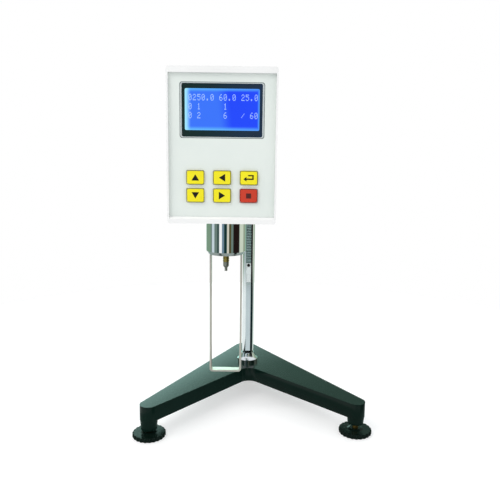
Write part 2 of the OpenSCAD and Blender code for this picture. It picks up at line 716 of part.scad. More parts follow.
module main_board() {
    w = board_right - board_left;
    color([0.08, 0.30, 0.18]) translate([board_left + w / 2, board_y - 1.6, boardZ]) {
        plateY(1.6) square([w, board_h], center = true);
        translate([-12, -3, 6]) plateY(3.5) square([14, 14], center = true);
        translate([14, -4, -12]) plateY(4.5) square([20, 8], center = true);
        for (x = [8 - w / 2, 16 - w / 2, w / 2 - 10]) translate([x, -9, board_h / 2 - 11]) rodY(3.5, 9.5);
    }
}

module power_module() {
    front = spY + frame_side + 1.5;
    depth = shell_back - 4 - front;
    color([0.25, 0.26, 0.28]) translate([board_right - 32, front, deck_z]) {
        cube([30, depth, 22]);
        translate([5, 2, 0]) cube([20, depth - 4, 24.5]);
    }
}

module power_jack() {
    color([0.10, 0.10, 0.11]) translate([jackX, 0, jackZ]) {
        difference() {
            union() {
                translate([0, shell_back - 10, 0]) rodY(5.5, cover_t + 10);
                translate([0, head_back, 0]) rodY(7, 1.5);
            }
            translate([0, shell_back - 7, 0]) rodY(2.9, 20);
        }
        translate([0, shell_back - 8, 0]) rodY(1, 7 + cover_t);
    }
}

rocker_y = head_back - 2.9;
module switch_housing() {
    color([0.09, 0.09, 0.10]) translate([jackX, 0, switchZ]) difference() {
        union() {
            translate([0, shell_back - 11, 0]) plateY(cover_t + 11) square([13.8, 19.8], center = true);
            translate([0, head_back, 0]) plateY(1.5) rrect(17, 23, 1.5);
        }
        translate([0, shell_back - 9, 0]) plateY(20) square([12, 18.6], center = true);
    }
}

module switch_rocker() {
    color([0.14, 0.14, 0.15]) translate([jackX - 5.8, rocker_y, switchZ]) rotate([8, 0, 0])
        intersection() {
            rodX(9.1, 11.6);
            rotate([90, 0, 90]) linear_extrude(11.6)
                polygon([[-4, -6], [4.4, -9.4], [3.2, 0], [4.4, 9.4], [-4, 6]]);
        }
}

module level_cup() {
    top = head_z + head_h;
    color([0.74, 0.60, 0.28]) translate([headX, levelY, top]) difference() {
        translate([0, 0, -8.6]) cylinder(r = 8, h = 8.4);
        translate([0, 0, -6.6]) cylinder(r = 6.6, h = 8);
    }
}

module level_glass() {
    color([0.75, 0.85, 0.55, 0.6]) translate([headX, levelY, head_z + head_h]) translate([0, 0, -6.6])
        cylinder(r = 6.5, h = 6.1);
}

module bottom_plate() {
    back = shell_back - 1;
    front = panelY + panel_t + 2.4;
    color([0.75, 0.77, 0.78]) difference() {
        translate([headX - head_w / 2 + head_wall + 1.2, front, floor_z])
            cube([head_w - 2 * head_wall - 2.4, back - front, plate_t]);
        translate([spX, spY, floor_z - 1]) cylinder(r = housing_r + run_gap, h = plate_t + 2);
        // Clear of the case's lower screw bosses
        for (sx = [-1, 1]) translate([headX + sx * cover_x - 5, shell_back - 14.4, floor_z - 1])
            cube([10, 20, plate_t + 2]);
    }
}

module collar() {
    color([0.86, 0.88, 0.90]) translate([spX, spY, collar_z]) difference() {
        rotate_extrude($fn = 128) polygon([[0, 0], [collar_r - bevel_w, 0], [collar_r, bevel_h],
            [collar_r, floor_z - collar_z], [collar_r - collar_wall, floor_z - collar_z],
            [collar_r - collar_wall, collar_floor + 1.5], [collar_r - collar_wall - 1.5, collar_floor],
            [0, collar_floor]]);
        translate([0, 0, -1]) cylinder(r = coupling_r + 1.4, h = collar_floor + 2);
        for (s = [-1, 1]) translate([s * guard_span / 2, 0, 0])
            cube([guard_t + 2 * fit_gap, guard_w + 2 * fit_gap, 2 * collar_floor + 2], center = true);
    }
}

holder_z = collar_z + collar_floor + 7;
holder_h = 10;
guard_screw_r = 1.2;
module guard() {
    legs = holder_z + holder_h - guard_z;
    color([0.80, 0.82, 0.80]) translate([spX, spY, guard_z]) difference() {
        translate([0, -guard_w / 2, 0]) plateY(guard_w) difference() {
            translate([0, legs]) rrect(guard_span + guard_t, 2 * legs, guard_corner);
            translate([0, legs + guard_t]) rrect(guard_span - guard_t, 2 * legs, guard_corner - guard_t);
            translate([-guard_span, legs]) square([2 * guard_span, legs]);
        }
        translate([-guard_span, 0, legs - holder_h / 2]) rodX(guard_screw_r + run_gap, 2 * guard_span);
    }
}

module guard_holder() {
    color([0.65, 0.67, 0.68]) translate([spX, spY, holder_z]) difference() {
        translate([0, 0, holder_h / 2])
            cube([guard_span - guard_t - 2 * fit_gap, 2 * housing_r + 3.4, holder_h], center = true);
        translate([0, 0, -1]) cylinder(r = housing_r + run_gap, h = holder_h + 2);
        translate([-guard_span, 0, holder_h / 2]) rodX(guard_screw_r + run_gap, 2 * guard_span);
    }
}

// Two screws that hold the guard's legs to the holder
module guard_screws() {
    leg = (guard_span + guard_t) / 2;
    color([0.30, 0.31, 0.32]) translate([spX, spY, holder_z + holder_h / 2]) for (s = [0, 1]) mirror([s, 0, 0]) {
        translate([housing_r + 0.3, 0, 0]) rodX(guard_screw_r, leg - housing_r + 0.2);
        translate([leg, 0, 0]) rodX(2, 0.9);
    }
}

module pivot_housing() {
    low = collar_z + collar_floor;
    color([0.76, 0.62, 0.30]) translate([spX, spY, 0]) difference() {
        translate([0, 0, low]) cylinder(r = housing_r, h = housing_top - low);
        translate([0, 0, low - 1]) cylinder(r = shaft_r + 1.2, h = housing_top - low + 2);
        translate([0, 0, low - 1]) cylinder(r = bearing_r + run_gap, h = bearing_h + 2);
        translate([0, 0, housing_top - bearing_h - 1]) cylinder(r = bearing_r + run_gap, h = bearing_h + 2);
    }
}

module spindle_bearings() {
    color([0.80, 0.82, 0.84]) for (z = [collar_z + collar_floor + 0.6, housing_top - bearing_h - 0.6])
        translate([spX, spY, z]) difference() {
            cylinder(r = bearing_r, h = bearing_h);
            translate([0, 0, -1]) cylinder(r = shaft_r + run_gap, h = bearing_h + 2);
            for (end = [-0.1, bearing_h - 0.4]) translate([0, 0, end]) difference() {
                cylinder(r = bearing_r - 0.9, h = 0.5);
                translate([0, 0, -1]) cylinder(r = 3.6, h = 3);
            }
        }
}

module spindle_shaft() {
    low = joint_z + joint_l - 1;
    color([0.78, 0.80, 0.82]) translate([spX, spY, 0]) {
        translate([0, 0, low]) cylinder(r = shaft_r - 0.6, h = sleeve_top - 1 - low);
        translate([0, 0, sleeve_top - 1]) cylinder(r = shaft_r, h = collet_top + 1 - sleeve_top + 1);
        translate([0, 0, collet_top + 1]) cylinder(r = pivot_r, h = 6);
    }
}

module coupling_sleeve() {
    low = sleeve_top - sleeve_l;
    color([0.72, 0.58, 0.25]) translate([spX, spY, 0]) difference() {
        union() {
            translate([0, 0, low]) cylinder(r = coupling_r, h = sleeve_l);
            for (z = [0.8, 3.2]) translate([0, 0, low + z]) cylinder(r = coupling_r + 0.25, h = 1.2);
        }
        translate([0, 0, low - 1]) cylinder(r = shaft_r - 0.6 + 0.02, h = sleeve_l);
        translate([0, 0, sleeve_top - 1]) cylinder(r = shaft_r + 0.02, h = 2);
    }
}

module coupling_tip() {
    color([0.66, 0.66, 0.62]) translate([spX, spY, joint_z]) difference() {
        union() {
            cylinder(r1 = coupling_r - 1, r2 = coupling_r, h = 1.6);
            translate([0, 0, 1.6]) cylinder(r = coupling_r, h = joint_l - 1.6);
            translate([0, 0, -rotor_stud_l]) cylinder(r = rotor_stud_r, h = rotor_stud_l + 1);
        }
        translate([0, 0, joint_l - 1 - seat_gap]) cylinder(r = shaft_r - 0.6 + 0.02, h = 3);
        translate([-5, 0, 3]) rodX(0.8, 10);
    }
}

module encoderDisc(z) {
    translate([spX, spY, z]) linear_extrude(1) difference() {
        circle(encoder_r);
        circle(shaft_r + 1);
        for (i = [0:encoder_slots - 1]) rotate(i * 360 / encoder_slots)
            translate([encoder_r - 2.4, 0]) square([2.4, 1.2], center = true);
    }
}

module lower_encoder() {
    color([0.22, 0.23, 0.24]) difference() {
        union() {
            encoderDisc(hub_z + 1.5);
            translate([spX, spY, hub_z]) cylinder(r = collet_r, h = collet_top - hub_z);
        }
        translate([spX, spY, hub_z - 1]) cylinder(r = shaft_r + 0.02, h = collet_top - hub_z + 2);
    }
}

spring_z = collet_top - 3;
spring_in = collet_r + seat_gap;
spring_out = encoder_r - 4;
spring_step = 15;
function springR(a) = spring_in + (spring_out - spring_in) * a / (360 * spring_turns);
module hair_spring() {
    last = 360 * spring_turns;
    color([0.55, 0.60, 0.75]) translate([spX, spY, spring_z]) linear_extrude(2) polygon(concat(
        [for (a = [0:spring_step:last]) polar(springR(a), a)],
        [for (a = [last:-spring_step:0]) polar(springR(a) + spring_t, a)]));
}

module upper_encoder() {
    stud_at = spring_out + spring_t + seat_gap + 0.9;
    color([0.22, 0.23, 0.24]) {
        difference() {
            union() {
                encoderDisc(upper_disc_z);
                translate([spX, spY, upper_disc_z]) cylinder(r = drive_shaft_r + 2, h = 6);
            }
            translate([spX, spY, upper_disc_z - 1]) cylinder(r = drive_shaft_r + 0.02, h = 8);
        }
        // Stud that holds the hairspring's outer end
        translate([spX, spY, 0]) rotate([0, 0, 360 * (spring_turns - floor(spring_turns))])
            translate([stud_at, 0, spring_z]) cylinder(r = 0.9, h = upper_disc_z - spring_z + 0.5);
    }
}

module drive_shaft() {
    color([0.78, 0.80, 0.82]) translate([spX, spY, 0]) difference() {
        union() {
            translate([0, 0, upper_disc_z - 0.5]) cylinder(r = drive_shaft_r,
                h = frame_z + frame_t + seat_gap - upper_disc_z + 1);
            translate([0, 0, frame_z + frame_t + seat_gap]) cylinder(r = drive_shaft_r + 1, h = 2);
        }
        translate([0, 0, upper_disc_z - 1]) cylinder(r = pivot_r + run_gap, h = 6);
    }
}

module drive_gear() {
    color([0.74, 0.60, 0.28]) translate([spX, spY, gear_z]) difference() {
        union() {
            linear_extrude(gear_t) gear2d(drive_z, drive_m);
            cylinder(r = drive_shaft_r + 3, h = gear_t + 4);
        }
        translate([0, 0, -1]) cylinder(r = drive_shaft_r + 0.02, h = gear_t + 8);
    }
}

module motor_gear() {
    color([0.80, 0.66, 0.34]) translate([motorX, spY, gear_z]) {
        linear_extrude(gear_t) rotate(180 / motor_z) gear2d(motor_z, drive_m);
        cylinder(r = 1.5, h = frame_z + frame_t - gear_z + 8);
    }
}

module drive_motor() {
    color([0.55, 0.57, 0.58]) translate([motorX, spY, frame_z + frame_t]) difference() {
        union() {
            cylinder(r = motor_r, h = motor_h - 2);
            translate([0, 0, motor_h - 2]) cylinder(r1 = motor_r, r2 = motor_r - 2, h = 2);
        }
        translate([0, 0, -1]) cylinder(r = 1.5 + run_gap, h = 10);
    }
}

module motor_frame() {
    right = encoder_r + 5;
    left = gear_gap + motor_r + 2.5;
    color([0.72, 0.74, 0.75]) translate([spX, spY, 0]) {
        difference() {
            translate([-left, -frame_side, frame_z]) cube([left + right, 2 * frame_side, frame_t]);
            translate([0, 0, frame_z - 1]) cylinder(r = drive_shaft_r + run_gap, h = frame_t + 2);
            translate([-gear_gap, 0, frame_z - 1]) cylinder(r = 4, h = frame_t + 2);
        }
        for (x = [-left + 3, right - 3.4], y = [3.4 - frame_side, frame_side - 3.4])
            translate([x, y, deck_z]) cylinder(r = 2.5, h = frame_z - deck_z);
    }
}

module put() { translate([-middle.x, -middle.y, 0]) children(); }

put() base_casting();
put() post();
put() post_rack();
put() rack_screw();
put() post_flange();
put() post_nut();
put() foot_stud_left();
put() foot_stud_right();
put() foot_stud_rear();
put() foot_disc_left();
put() foot_disc_right();
put() foot_disc_rear();
put() clamp_block();
put() pinion_cover();
put() post_lock_screw();
put() rod_lock_screw();
put() lift_pinion();
put() lift_shaft();
put() lift_knob();
put() mount_rod();
put() head_shell();
put() rear_cover();
put() rear_fasteners();
put() front_panel();
put() window_bezel();
put() lcd_frame();
put() lcd_glass();
put() lcd_board();
put() key_up();
put() key_left();
put() key_return();
put() key_down();
put() key_right();
put() key_stop();
put() key_board();
put() main_board();
put() power_module();
put() power_jack();
put() switch_housing();
put() switch_rocker();
put() level_cup();
put() level_glass();
put() bottom_plate();
put() collar();
put() guard();
put() guard_holder();
put() guard_screws();
put() pivot_housing();
put() spindle_bearings();
put() spindle_shaft();
put() coupling_sleeve();
put() coupling_tip();
put() lower_encoder();
put() hair_spring();
put() drive_shaft();
put() upper_encoder();
put() drive_gear();
put() motor_gear();
put() drive_motor();
put() motor_frame();
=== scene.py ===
import json
import math

import bmesh
import bpy
from mathutils import Matrix, Vector, geometry


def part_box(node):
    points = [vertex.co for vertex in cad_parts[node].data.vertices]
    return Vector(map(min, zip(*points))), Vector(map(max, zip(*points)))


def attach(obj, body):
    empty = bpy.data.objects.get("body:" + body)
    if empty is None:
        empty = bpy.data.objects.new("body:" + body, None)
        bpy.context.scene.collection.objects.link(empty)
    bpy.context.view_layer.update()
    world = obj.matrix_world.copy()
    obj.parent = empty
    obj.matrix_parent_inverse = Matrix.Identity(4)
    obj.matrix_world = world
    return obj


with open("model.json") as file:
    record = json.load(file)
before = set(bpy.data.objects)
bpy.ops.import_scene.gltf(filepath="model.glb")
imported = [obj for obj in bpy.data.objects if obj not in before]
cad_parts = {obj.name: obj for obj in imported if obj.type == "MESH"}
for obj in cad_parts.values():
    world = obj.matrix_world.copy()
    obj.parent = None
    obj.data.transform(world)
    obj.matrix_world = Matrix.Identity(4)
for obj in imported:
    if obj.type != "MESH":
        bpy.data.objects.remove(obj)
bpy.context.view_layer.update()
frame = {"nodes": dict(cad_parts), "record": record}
nodes = frame["nodes"]
mm = 0.001
print("frame loaded:", len(nodes), "nodes")


# a Wire is one socket's value, and adds Math nodes when it is calculated with
class Wire:
    def __init__(self, board, socket):
        self.board = board
        self.socket = socket

    def calc(self, operation, other=None, flipped=False):
        parts = [self] if other is None else ([other, self] if flipped else [self, other])
        return self.board.add("ShaderNodeMath", {"operation": operation}, dict(enumerate(parts)))

    def __add__(self, other):
        return self.calc("ADD", other)

    __radd__ = __add__

    def __sub__(self, other):
        return self.calc("SUBTRACT", other)

    def __rsub__(self, other):
        return self.calc("SUBTRACT", other, True)

    def __mul__(self, other):
        return self.calc("MULTIPLY", other)

    __rmul__ = __mul__

    def __truediv__(self, other):
        return self.calc("DIVIDE", other)

    def __abs__(self):
        return self.calc("ABSOLUTE")

    def orMore(self, other):
        return self.calc("MAXIMUM", other)

    def above(self, low, high):
        # 0 below low, 1 above high, and a smooth rise between them
        return self.board.add("ShaderNodeMapRange", {"interpolation_type": "SMOOTHSTEP"},
                              {"Value": self, "From Min": low, "From Max": high})


# a Board is one shader's node tree
class Board:
    def __init__(self, tree):
        self.tree = tree
        tree.nodes.clear()

    def add(self, kind, settings=None, inputs=None, output=0):
        # settings go first, because some of them change the node's sockets
        made = self.tree.nodes.new(kind)
        for key, value in (settings or {}).items():
            setattr(made, key, value)
        for key, value in (inputs or {}).items():
            if isinstance(value, Wire):
                self.tree.links.new(value.socket, made.inputs[key])
            else:
                made.inputs[key].default_value = value
        return Wire(self, made.outputs[output]) if made.outputs else None

    def mix(self, colourA, colourB, share):
        # the Mix node's sockets 6 and 7 and its output 2 are the ones for colours
        def full(colour):
            return colour if isinstance(colour, Wire) else (*colour, 1)
        return self.add("ShaderNodeMix", {"data_type": "RGBA"},
                        {0: share, 6: full(colourA), 7: full(colourB)}, 2)

    def place(self):
        return self.add("ShaderNodeTexCoord", output="Object")

    def split(self, vector):
        made = self.add("ShaderNodeSeparateXYZ", None, {0: vector})
        return [Wire(self, socket) for socket in made.socket.node.outputs]

    def noise(self, scale, detail=3, stretch=None, rough=0.55):
        at = self.place()
        if stretch:
            at = self.add("ShaderNodeMapping", None, {"Vector": at, "Scale": stretch})
        return self.add("ShaderNodeTexNoise", None,
                        {"Vector": at, "Scale": scale, "Detail": detail, "Roughness": rough})

    def bump(self, height, distance):
        return self.add("ShaderNodeBump", None, {"Height": height, "Distance": distance, "Strength": 1.0})


def linear(red, green, blue):
    # 0-255 as seen on a screen, to the values that the shader works in
    def one(v):
        v /= 255
        return v / 12.92 if v <= 0.04045 else ((v + 0.055) / 1.055) ** 2.4
    return (one(red), one(green), one(blue))


def newFinish(name, draw):
    material = bpy.data.materials.new(name)
    material.use_nodes = True
    board = Board(material.node_tree)
    surface = board.add("ShaderNodeBsdfPrincipled", None, draw(board))
    board.add("ShaderNodeOutputMaterial", None, {"Surface": surface})
    return material


# colours are 0-255 and depths are metres; spread is how far the roughness wanders
def paint(name, colour, shade, rough, spread=0.05, peel=0.00004, grain=900, bend=1.5):
    def draw(b):
        cloud = b.noise(14, 4)
        fine = b.noise(grain, 2)
        return {"Base Color": b.mix(linear(*colour), linear(*shade), cloud.above(0.35, 0.7)), "IOR": bend,
                "Roughness": (cloud - 0.5) * spread * 2 + (fine - 0.5) * spread + rough,
                "Normal": b.bump(fine, peel)}
    return newFinish(name, draw)


def metal(name, colour, shade, rough, stretch, spread=0.08, depth=0.00001, bare=1.0):
    def draw(b):
        brush = b.noise(1.0, 3, stretch, 0.6)
        cloud = b.noise(40, 3)
        tone = (brush * 0.6 + cloud * 0.5).above(0.35, 0.8)
        return {"Base Color": b.mix(linear(*colour), linear(*shade), tone), "Metallic": bare,
                "Roughness": (brush - 0.5) * spread * 2 + (cloud - 0.5) * spread + rough,
                "Normal": b.bump(brush, depth)}
    return newFinish(name, draw)


def plastic(name, colour, shade, rough, grain=1400, depth=0.00003, spread=0.08, coat=0.0):
    def draw(b):
        fine = b.noise(grain, 2)
        cloud = b.noise(30, 3)
        return {"Base Color": b.mix(linear(*colour), linear(*shade), cloud.above(0.3, 0.75)),
                "Roughness": (cloud - 0.5) * spread * 2 + (fine - 0.5) * spread + rough,
                "Coat Weight": coat, "Coat Roughness": 0.08,
                "Normal": b.bump(fine, depth)}
    return newFinish(name, draw)


def trimPlastic(name, colour, shade, rough=0.6, grain=1600):
    # ink, painted shade lines and a thin pale strip, with hardly any grain
    return plastic(name, colour, shade, rough, grain, 0.00001)


# how metal is finished: how fine its grain is along X, Y and Z
alongX = (8, 900, 900)
alongZ = (900, 900, 8)
aroundZ = (12, 12, 1600)
threadZ = (20, 20, 6000)
evenGrain = (300, 300, 300)

finishes = {
    "casting_green": paint("castingEnamel", (11, 29, 24), (8, 24, 19), 0.15, 0.04, 0.00003, 500, bend=1.24),
    "foot_dark": paint("footPlastic", (12, 26, 21), (8, 20, 16), 0.22, 0.06, grain=1200, bend=1.22),
    "shell_white": paint("shellPowderCoat", (237, 237, 236), (233, 233, 232), 0.46, 0.05, 0.00005, 1500),
    "panel_grey": paint("panelPaint", (223, 229, 224), (219, 226, 221), 0.42, 0.05, 0.00003, 1800),
    "cover_black": paint("pinionCoverPaint", (40, 41, 43), (30, 31, 33), 0.42),
    "post_chrome": metal("postChrome", (242, 246, 247), (230, 235, 238), 0.08, alongZ, 0.04, 0.000003),
    "flange_chrome": metal("flangeChrome", (230, 234, 238), (212, 218, 224), 0.09, aroundZ, 0.05, 0.000005),
    "guard_steel": metal("guardSteel", (229, 221, 209), (211, 204, 195), 0.34, alongZ, bare=0.75),
    "bezel_light": metal("bezelPlated", (226, 233, 234), (214, 222, 224), 0.18, alongX, 0.05, 0.000004,
                         bare=0.4),
    "coupling_brass": metal("couplingBrass", (184, 163, 90), (138, 120, 58), 0.24, aroundZ, 0.1),
    "tip_steel": metal("tipSteel", (176, 176, 166), (140, 140, 130), 0.28, aroundZ, 0.1),
    "stud_brass": metal("footStudBrass", (190, 158, 84), (130, 104, 52), 0.30, threadZ, 0.12, 0.00012),
    "black_steel": metal("blackScrews", (52, 52, 52), (34, 34, 34), 0.38, aroundZ, 0.1),
    "plain_steel": metal("plainSteel", (190, 195, 200), (165, 170, 176), 0.26, aroundZ, 0.1),
    "clamp_aluminium": metal("clampAluminium", (185, 189, 193), (168, 172, 178), 0.36, evenGrain, 0.1,
                             0.00002),
    "plate_aluminium": metal("plateAluminium", (198, 202, 205), (180, 184, 188), 0.34, alongX, 0.1),
    "gear_brass": metal("gearBrass", (214, 184, 116), (184, 150, 86), 0.26, aroundZ, 0.1),
    "spring_steel": metal("springSteel", (110, 122, 160), (80, 90, 130), 0.25, aroundZ, 0.1),
    "motor_steel": metal("motorCan", (165, 168, 170), (145, 148, 152), 0.30, aroundZ, 0.1),
    "knob_black": plastic("knobPlastic", (36, 37, 39), (28, 28, 30), 0.42),
    "module_black": plastic("moduleBlack", (34, 34, 36), (26, 26, 28), 0.46),
    "encoder_black": plastic("encoderBlack", (50, 52, 55), (40, 42, 45), 0.36),
    "rocker_black": plastic("rockerBlack", (26, 26, 28), (20, 20, 22), 0.26, 1400, 0.00002, 0.06, coat=0.3),
    "key_yellow": plastic("keyYellow", (240, 228, 10), (234, 220, 8), 0.38, 1600, 0.00002, 0.05, coat=0.1),
    "key_red": plastic("keyRed", (202, 56, 30), (192, 50, 26), 0.38, 1600, 0.00002, 0.05, coat=0.1),
}

# the rack: teeth above in a dim teal grey, a painted reflection of the dark room in their gaps, pads below
# them painted bright in place of the reflection they show, and a tip as polished as the post; worn is in the
# shader's own values
rack = {"teethFrom": 157 * mm, "tipBelow": 134 * mm, "teeth": (150, 174, 173), "padsReflectionTone": (238, 246, 246),
        "metal": 0.2, "tipMetal": 0.9, "rough": 0.4, "tipRough": 0.22, "worn": (0.3, 0.32, 0.33)}


def drawRack(b):
    z = b.split(b.place())[2]
    cloud = b.noise(120, 3)
    toothed = z.above(rack["teethFrom"] - 0.1 * mm, rack["teethFrom"])
    atTip = 1 - z.above(rack["tipBelow"] - 0.2 * mm, rack["tipBelow"])
    # the teeth and pad tones are painted reflections
    tone = b.mix(linear(*rack["padsReflectionTone"]), linear(*rack["teeth"]), toothed)
    worn = b.mix(tone, rack["worn"], 0.3)
    return {"Base Color": b.mix(tone, worn, cloud.above(0.45, 0.8)),
            "Metallic": atTip * (rack["tipMetal"] - rack["metal"]) + rack["metal"],
            "Roughness": (cloud - 0.5) * 0.12 + atTip * (rack["tipRough"] - rack["rough"]) + rack["rough"],
            "Normal": b.bump(b.noise(1.0, 3, alongZ, 0.6), 0.000004)}


finishes["rack_steel"] = newFinish("rackSteel", drawRack)

# the collar: mirror chrome, with a turned bevel that is only satin
collar = {"bright": (244, 246, 247), "dull": (236, 239, 241), "bevel": 2.2 * mm,
          "mirror": 0.02, "satin": 0.24}


def drawCollar(b):
    z = b.split(b.place())[2]
    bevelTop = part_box("collar")[0].z + collar["bevel"]
    bevelled = 1 - z.above(bevelTop - 0.2 * mm, bevelTop)
    cloud = b.noise(40, 3)
    return {"Base Color": b.mix(linear(*collar["bright"]), linear(*collar["dull"]), cloud.above(0.35, 0.8)),
            "Metallic": 1.0,
            "Roughness": (cloud - 0.5) * 0.01 + bevelled * collar["satin"] + collar["mirror"],
            "Normal": b.bump(b.noise(1.0, 3, aroundZ, 0.6), 0.0000004)}


finishes["collar_chrome"] = newFinish("collarChrome", drawCollar)

# the display's dark surround, green-black at its left and bluer towards its right side, a painted reflection;
# shade is in the shader's own values
surround = {"left": (16, 40, 36), "right": (26, 46, 70), "shade": (0.006, 0.01, 0.013), "rough": 0.26}


def drawSurround(b):
    low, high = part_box("lcd_frame")
    reflectionAcross = b.split(b.place())[0].above(low.x, high.x)
    cloud = b.noise(60, 3)
    # the colour across the surround is a painted reflection
    tone = b.mix(linear(*surround["left"]), linear(*surround["right"]), reflectionAcross)
    return {"Base Color": b.mix(tone, surround["shade"], cloud.above(0.4, 0.9) * 0.5),
            "Roughness": (cloud - 0.5) * 0.08 + surround["rough"],
            "Normal": b.bump(b.noise(1400, 2), 0.00002)}


finishes["lcd_black"] = newFinish("displaySurroundReflection", drawSurround)

# the boards and the level's spirit
circuit = {"mask": (16, 88, 52), "darkMask": (10, 66, 40), "copper": (40, 120, 74),
           "scale": 260.0, "line": 0.04}


def drawBoard(b):
    # solder mask over copper lines; the brick node's output 1 is the lines alone
    black, white = (0, 0, 0, 1), (1, 1, 1, 1)
    lines = b.add("ShaderNodeTexBrick", {"offset": 0.37, "squash": 1.6},
                  {"Vector": b.place(), "Scale": circuit["scale"], "Mortar Size": circuit["line"],
                   "Color1": black, "Color2": black, "Mortar": white}, 1)
    cloud = b.noise(60, 3)
    mask = b.mix(linear(*circuit["mask"]), linear(*circuit["darkMask"]), cloud)
    return {"Base Color": b.mix(mask, linear(*circuit["copper"]), lines),
            "Roughness": (cloud - 0.5) * 0.1 + 0.32, "Normal": b.bump(lines, 0.00003)}


finishes["board_green"] = newFinish("boardMask", drawBoard)

spirit = {"bright": (206, 226, 96), "deep": (190, 214, 78), "clear": 0.25, "bend": 1.45}


def drawSpirit(b):
    cloud = b.noise(200, 2)
    return {"Base Color": b.mix(linear(*spirit["bright"]), linear(*spirit["deep"]), cloud),
            "Roughness": (cloud - 0.5) * 0.04 + 0.07, "Transmission Weight": spirit["clear"],
            "IOR": spirit["bend"], "Normal": b.bump(cloud, 0.000005)}


finishes["vial_glass"] = newFinish("vialSpirit", drawSpirit)

# the lit display: a paler blue on its left, a painted reflection on the glass, that meets a deeper blue near
# its middle, and a glow along each edge
display = {
    "width": 73 * mm, "height": 39.8 * mm, "up": 0.8 * mm, "light": 1.0,
    "reflectedLeftBlue": (62, 118, 250), "rightBlue": (38, 74, 250), "edgeBlue": (104, 192, 255),
    "sideBlue": (168, 238, 255), "ground": (8, 16, 60), "groundShade": (4, 10, 40),
    # shares of its width or height
    "meet": (0.46, 0.66), "lean": 0.06,
    "leftGlow": 0.085, "topGlow": 0.09, "bottomGlow": 0.11, "rightGlow": 0.035,
}
glassLow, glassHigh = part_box("lcd_glass")
screenLeft = (glassLow.x + glassHigh.x) / 2 - display["width"] / 2
screenMidZ = (glassLow.z + glassHigh.z) / 2 + display["up"]
screenBottom = screenMidZ - display["height"] / 2


def drawScreen(b):
    x, _, z = b.split(b.place())
    toRight = (x - screenLeft) / display["width"]
    toTop = (z - screenBottom) / display["height"]
    atLeft = 1 - toRight.above(0.0, display["leftGlow"])
    atTop = toTop.above(1 - display["topGlow"], 1.0) * (1 - toRight * 0.35) * 0.85
    atBottom = (1 - toTop.above(0.0, display["bottomGlow"])) * (1 - toRight * 0.4)
    atRight = toRight.above(1 - display["rightGlow"], 1.0) * 0.6
    # the paler left blue, and the slanted line where it meets the deeper blue, are a painted reflection
    blue = b.mix(linear(*display["reflectedLeftBlue"]), linear(*display["rightBlue"]),
                 (toRight + toTop * display["lean"]).above(*display["meet"]))
    blue = b.mix(blue, linear(*display["edgeBlue"]), atTop.orMore(atBottom).orMore(atRight))
    return {"Base Color": b.mix(linear(*display["ground"]), linear(*display["groundShade"]), b.noise(60, 2)),
            "Roughness": b.noise(300, 2) * 0.05 + 0.08, "Coat Weight": 0.5, "Coat Roughness": 0.03,
            "Emission Color": b.mix(blue, linear(*display["sideBlue"]), atLeft),
            "Emission Strength": display["light"]}


finishes["lcd_screen"] = newFinish("displayLit", drawScreen)
print("finishes made:", len(finishes))

slotOf = {part["node"]: part["material_slot"] for part in frame["record"]["subparts"]}
for nodeName, thing in nodes.items():
    finish = finishes[slotOf[nodeName]]
    if not thing.material_slots:
        thing.data.materials.append(finish)
    for holder in thing.material_slots:
        holder.material = finish

# edges of the cast, pressed and moulded nodes are eased: width in mm, and steps
easedEdges = {
    "base_casting": (1.3, 4), "head_shell": (0.7, 3), "rear_cover": (0.5, 2), "front_panel": (0.2, 1),
    "window_bezel": (0.45, 3), "lcd_frame": (0.3, 2), "clamp_block": (0.9, 3), "pinion_cover": (0.4, 2),
    "lift_knob": (0.35, 2), "post_lock_screw": (0.5, 2), "rod_lock_screw": (0.5, 2),
    "foot_disc_left": (0.35, 2), "foot_disc_right": (0.35, 2), "foot_disc_rear": (0.35, 2),
    "guard": (0.3, 2), "switch_housing": (0.3, 2), "switch_rocker": (0.4, 2), "power_jack": (0.3, 2),
    "mount_rod": (0.4, 2), "rear_fasteners": (0.15, 1),
    "key_up": (0.22, 2), "key_left": (0.22, 2), "key_return": (0.22, 2),
    "key_down": (0.22, 2), "key_right": (0.22, 2), "key_stop": (0.22, 2),
}
for nodeName, (width, steps) in easedEdges.items():
    weld = nodes[nodeName].modifiers.new("joinEdges", "WELD")
    weld.merge_threshold = 0.02 * mm
    ease = nodes[nodeName].modifiers.new("easedEdges", "BEVEL")
    ease.width = width * mm
    ease.segments = steps
    ease.limit_method = "ANGLE"
    ease.angle_limit = math.radians(38)
    ease.harden_normals = True
print("edges eased:", len(easedEdges))


def slab(name, outlines, lift, finish, body):
    # flat outlines, each raised by the vector lift into a thin solid
    points, faces = [], []
    for outline in outlines:
        corners = [Vector(corner) for corner in outline]
        if geometry.normal(corners).dot(Vector(lift)) < 0:
            corners.reverse()  # every outline then runs anticlockwise, seen from its raised side
        count, first = len(corners), len(points)
        points += corners + [corner + Vector(lift) for corner in corners]
        faces.append([first + i for i in reversed(range(count))])
        faces.append([first + count + i for i in range(count)])
        for i in range(count):
            low, high = first + i, first + (i + 1) % count
            faces.append([low, high, high + count, low + count])
    mesh = bpy.data.meshes.new(name)
    mesh.from_pydata(points, [], faces)
    thing = bpy.data.objects.new(name, mesh)
    bpy.context.scene.collection.objects.link(thing)
    thing.data.materials.append(finish)
    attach(thing, body)


def printed(name, outlines, front, thick, finish, body):
    # outlines in X and Z, standing out from front towards -Y
    slab(name, [[(x, front, z) for x, z in outline] for outline in outlines], (0, -thick, 0), finish, body)


